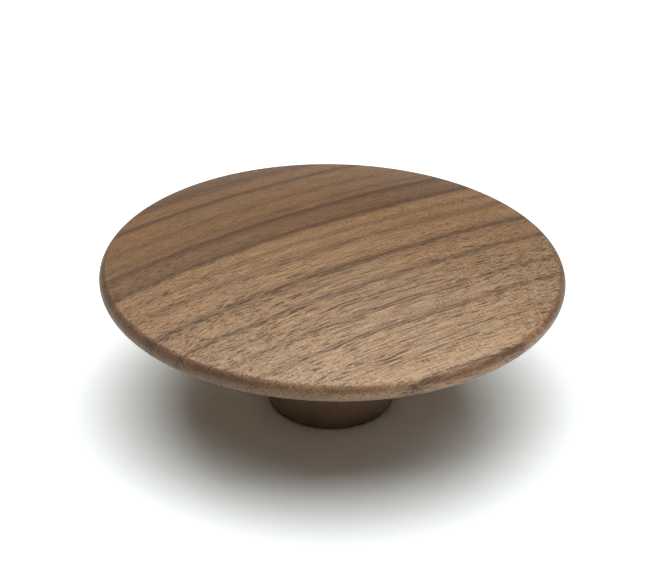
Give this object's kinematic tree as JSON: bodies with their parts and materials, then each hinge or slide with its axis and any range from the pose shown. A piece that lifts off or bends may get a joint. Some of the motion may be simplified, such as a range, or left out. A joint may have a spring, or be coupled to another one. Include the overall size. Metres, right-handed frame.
{
  "type": "mushroom cabinet knob",
  "caption": "Turned walnut cabinet knob with a wide domed cap, a short stem and a metal threaded insert in its foot.",
  "frame": {"origin": "centre of the foot's flat face, which meets the door or drawer front", "axes": "+Z along the knob's turning axis, from the foot to the crown; X and Y are alike in shape, and the grain runs about 34 degrees from +X towards +Y"},
  "size_m": [0.07, 0.07, 0.0264],
  "materials": {
    "walnut": "satin oiled or lacquered walnut with straight dark grain",
    "insert_brass": "plain turned brass"
  },
  "bodies": {
    "root": {"knob_body": "walnut", "threaded_insert": "insert_brass"}
  },
  "joints": []
}
